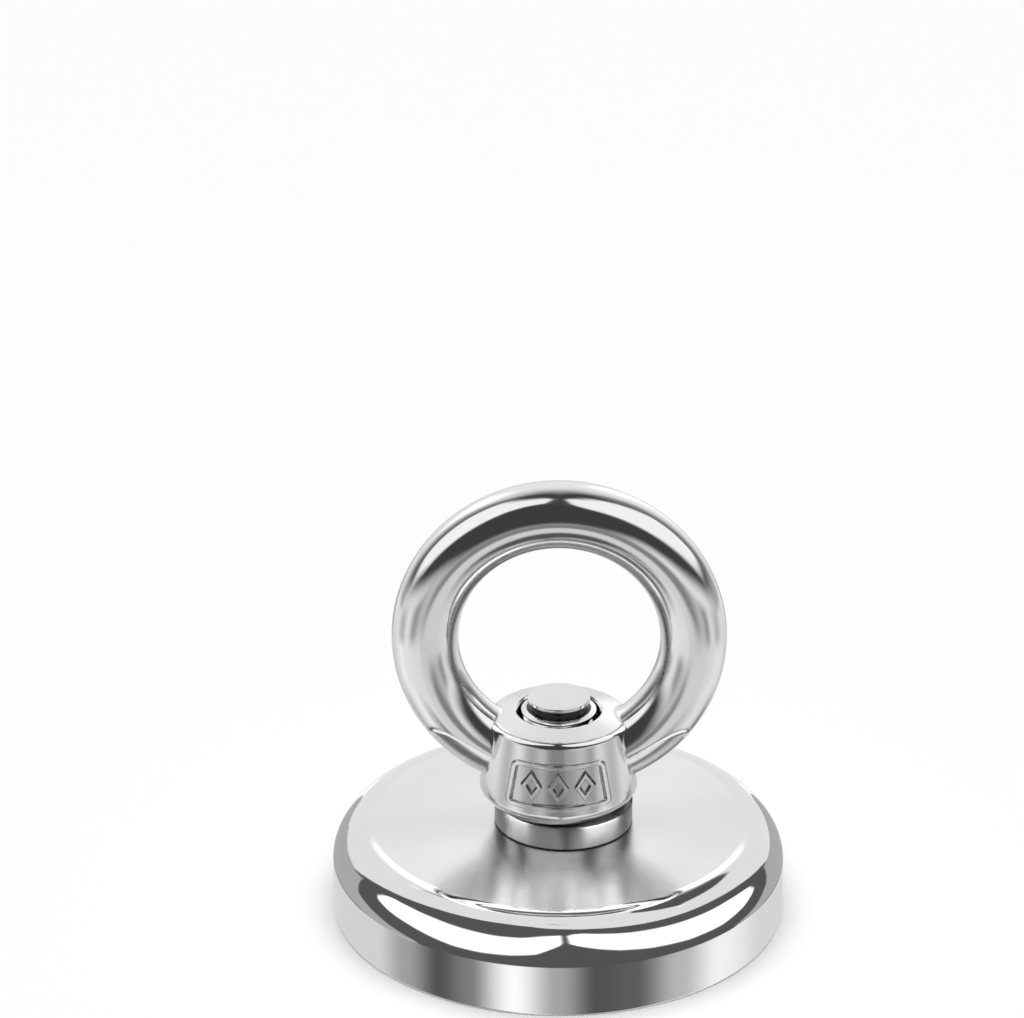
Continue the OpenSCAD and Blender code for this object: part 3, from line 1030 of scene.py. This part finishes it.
def make_camera():
    """Camera at the photograph's viewing angle: 28 degrees above the bench, half a metre away."""
    data = bpy.data.cameras.new("camera")
    camera = bpy.data.objects.new("camera", data)
    bpy.context.scene.collection.objects.link(camera)
    elevation = math.radians(27.98)
    middle = Vector((0, 0, 15 * MM))
    camera.location = middle + 0.5 * Vector((0, -math.cos(elevation), math.sin(elevation)))
    aim = Vector((-6.14, 0, 57.13)) * MM
    camera.rotation_mode = "QUATERNION"
    camera.rotation_quaternion = (aim - camera.location).to_track_quat("-Z", "Y")
    data.sensor_width = 36
    data.lens = 132.1
    data.clip_start = 0.01
    data.clip_end = 20
    bpy.context.scene.camera = camera


make_camera()
make_world()
make_floor()

NICKEL = metal("bright_nickel", (0.81, 0.81, 0.815), (0.79, 0.79, 0.795), 0.045, 0.03)
TURNED_NICKEL = metal("turned_nickel", (0.75, 0.75, 0.755), (0.72, 0.72, 0.725), 0.22, 0.03, turned=0.8)
MAGNET_SKIN = metal("magnet_nickel", (0.66, 0.66, 0.67), (0.60, 0.60, 0.62), 0.16, 0.10)
# The eye's bore is painted dark as shade, and the eye carries the painted shade and dark reflection marks
STAINLESS = metal("polished_stainless", (0.80, 0.80, 0.805), (0.78, 0.78, 0.785), 0.09, 0.03,
                  painted_shade_zone=(MOUTH_R - 0.2, FOOT_Z + 0.5, COLLAR_TOP_Z - 0.25), painted_shade_mark=0.2)
# The cone carries the painted shade on the raised work
TURNED_STAINLESS = metal("turned_stainless", (0.80, 0.80, 0.805), (0.77, 0.77, 0.78), 0.11, 0.03,
                         turned=0.8, painted_shade_mark=0.2)
# The screw's thread roots and the groove under its tip are painted dark as shade
SCREW_STEEL = metal("screw_stainless", (0.76, 0.76, 0.77), (0.72, 0.72, 0.74), 0.10, 0.06,
                    painted_shade_zone=(4.3, POT_H, TIP_Z - 0.5))
# The eye's inner thread is painted near black as shade in the bore
THREAD_STEEL = metal("thread_painted_shade", (0.10, 0.10, 0.10), (0.06, 0.06, 0.06), 0.3, 0.1)
# The washer's lowest band is painted dark as the shadow where it sits on the pot
SPRING_STEEL = metal("washer_steel", (0.29, 0.29, 0.295), (0.25, 0.25, 0.255), 0.30, 0.06, turned=0.9,
                     painted_shade_zone=(COLLAR_WIDE_R, POT_H - 0.2, POT_H + 0.27))
RESIN = plain_stuff("cast_resin", (0.035, 0.035, 0.04), (0.06, 0.06, 0.065), 0.22, 250)
ADHESIVE = plain_stuff("cured_adhesive", (0.55, 0.47, 0.28), (0.62, 0.55, 0.35), 0.45, 300)

base = [make_pot(NICKEL, TURNED_NICKEL), make_magnet(MAGNET_SKIN), make_resin(RESIN), make_film(ADHESIVE)]
washer = make_washer(SPRING_STEEL)
upper = [make_screw(SCREW_STEEL), *make_eye(STAINLESS, TURNED_STAINLESS, THREAD_STEEL)]

light_base(light_group("base_light", base))
light_eye(light_group("eye_light", upper))
light_washer(light_group("washer_light", [washer]))

bpy.context.scene.view_settings.view_transform = "Standard"
